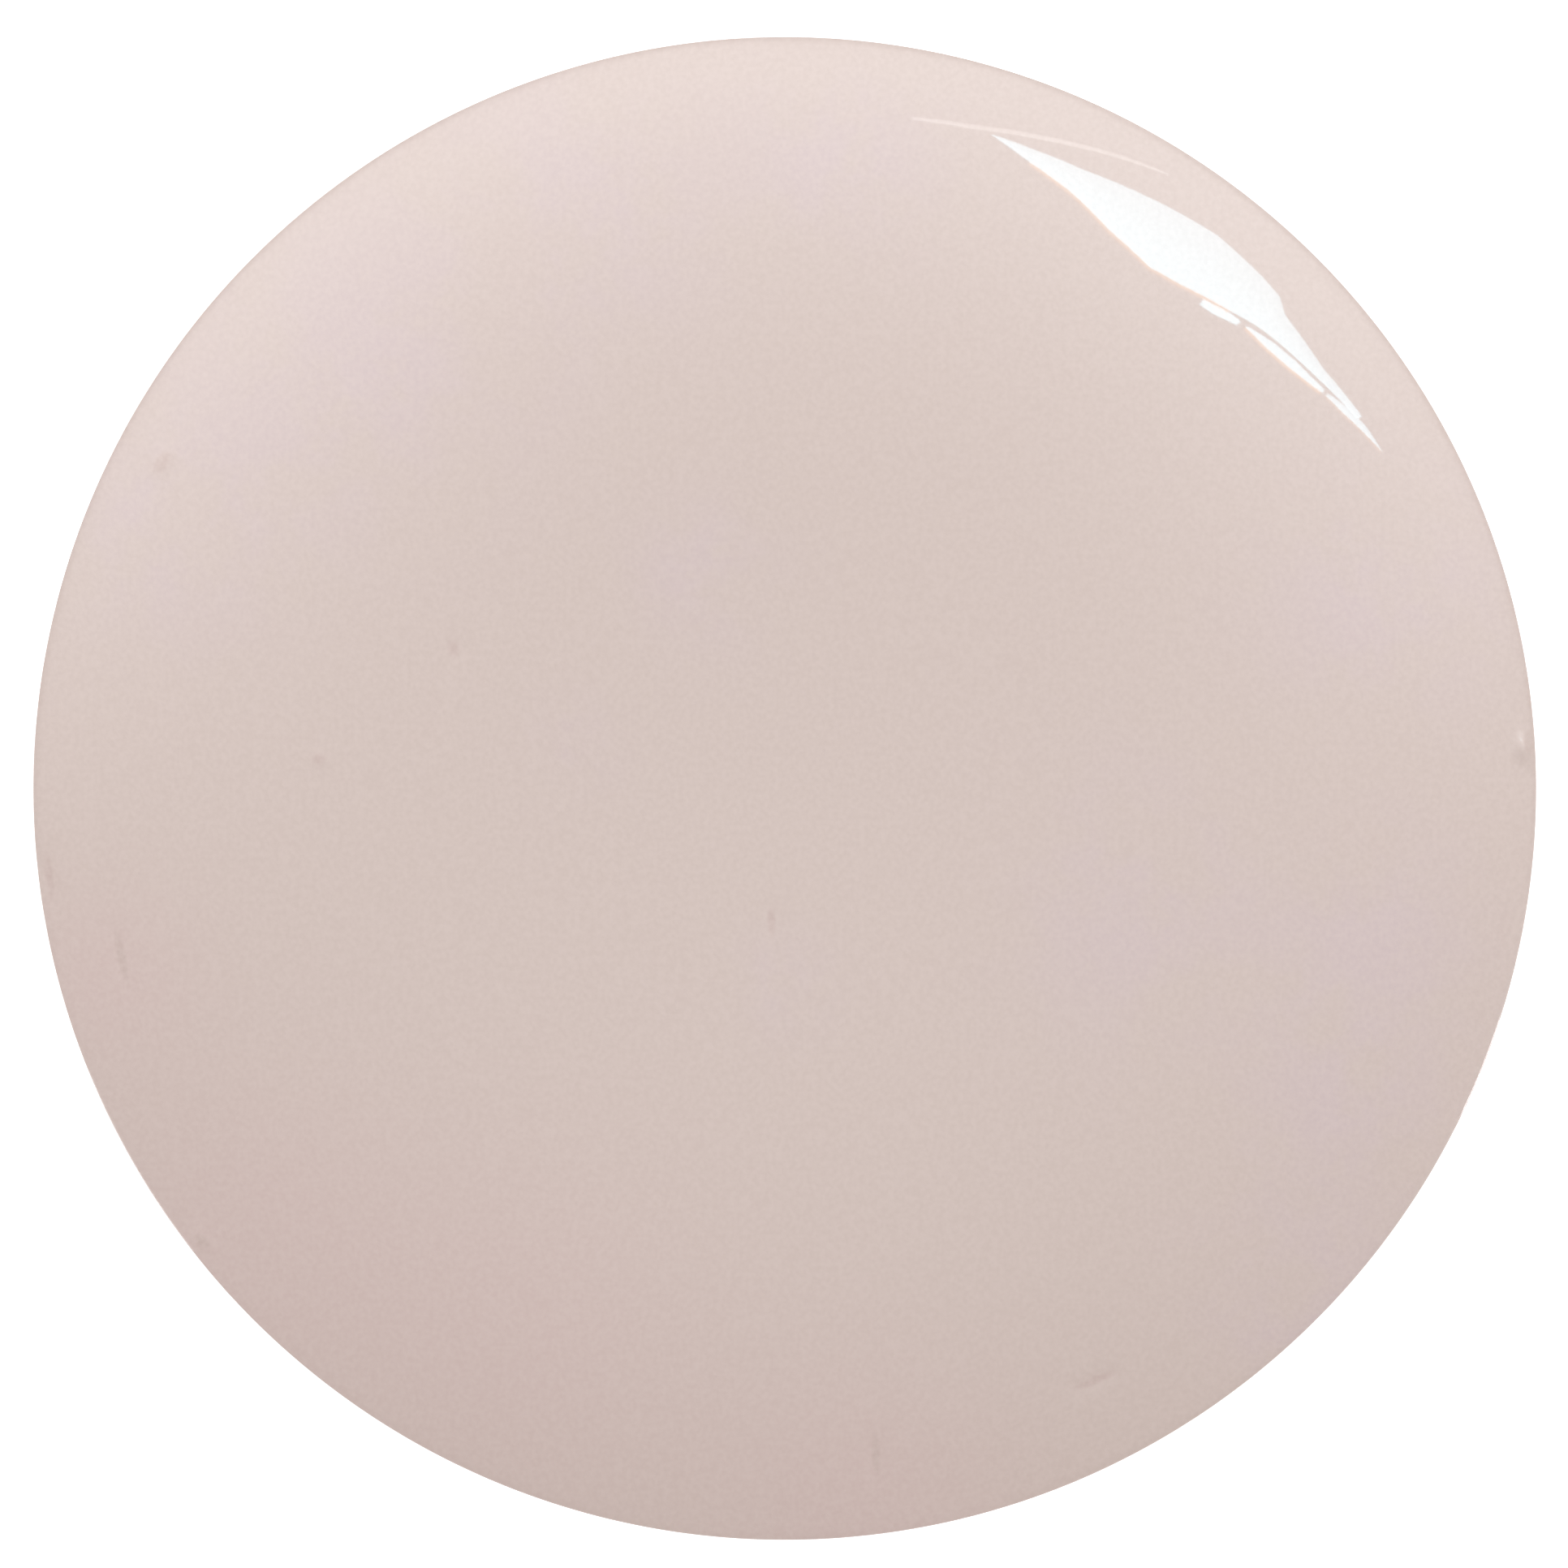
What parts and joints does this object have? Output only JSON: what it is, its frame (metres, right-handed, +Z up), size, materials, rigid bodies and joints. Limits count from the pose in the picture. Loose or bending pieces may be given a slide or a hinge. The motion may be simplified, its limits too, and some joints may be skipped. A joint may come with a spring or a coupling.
{
  "type": "nail polish bottle",
  "caption": "Round glass bottle of nail polish with a screw-on brush, a pull-off overcap, and a domed pool of the polish on its top.",
  "frame": {"origin": "centre of the base, on the surface the bottle stands on", "axes": "+Z up along the bottle's axis; the front faces -Y; every joint is at zero when the bottle is closed"},
  "size_m": [0.034, 0.034, 0.0813],
  "materials": {
    "flint_glass": "clear, polished",
    "polish": "wet gloss over a fine pearl",
    "lacquer": "satin lacquer in the polish's colour",
    "trim": "champagne anodised, fine turned grain",
    "steel": "plain",
    "ivory_plastic": "fine satin",
    "natural_plastic": "natural, slightly milky",
    "nylon": "bristles wet with polish",
    "foam": "closed-cell foam",
    "label_paper": "matt, blank",
    "tape": "matt"
  },
  "bodies": {
    "bottle": {"glass_bottle": "flint_glass", "polish_fill": "polish", "base_label": "label_paper", "neck_collar": "trim"},
    "ball_1": {"mixing_ball_1": "steel"},
    "ball_2": {"mixing_ball_2": "steel"},
    "seal": {"seal_liner": "foam"},
    "brush": {"brush_stem": "natural_plastic", "bristle_root": "nylon", "tuft_staple": "steel"},
    "tuft": {"bristle_tuft": "nylon"},
    "screw_cap": {"cap_core": "natural_plastic", "grip_sleeve": "ivory_plastic"},
    "overcap": {"overcap_body": "lacquer", "overcap_liner": "natural_plastic", "cap_weight": "steel", "dome_tape": "tape", "dome_tray": "lacquer", "colour_dome": "polish"}
  },
  "joints": [
    {"name": "brush_lift", "type": "slide", "parent": "bottle", "child": "seal", "axis": [0, 0, 1], "range_m": [0, 0.048], "deforming": ["polish_fill"]},
    {"name": "cap_rise", "type": "slide", "parent": "seal", "child": "brush", "axis": [0, 0, 1], "range_m": [0, 0.00424]},
    {"name": "cap_turn", "type": "hinge", "parent": "brush", "child": "screw_cap", "pos_m": [0, 0, 0.05], "axis": [0, 0, 1], "range_deg": [0, 720]},
    {"name": "overcap_pull", "type": "slide", "parent": "screw_cap", "child": "overcap", "axis": [0, 0, 1], "range_m": [0, 0.036]},
    {"name": "tuft_bend", "type": "hinge", "parent": "brush", "child": "tuft", "pos_m": [0, 0, 0.0213], "axis": [0, 1, 0], "range_deg": [-25, 25], "stiffness_Nm_per_rad": 0.0005},
    {"name": "ball_1_lift", "type": "slide", "parent": "bottle", "child": "ball_1", "axis": [0, 0, 1], "range_m": [0, 0.022]},
    {"name": "ball_2_lift", "type": "slide", "parent": "bottle", "child": "ball_2", "axis": [0, 0, 1], "range_m": [0, 0.022]}
  ],
  "couplings": [
    {"joint": "cap_rise", "follows": "cap_turn", "m_per_rad": 0.00033688}
  ]
}
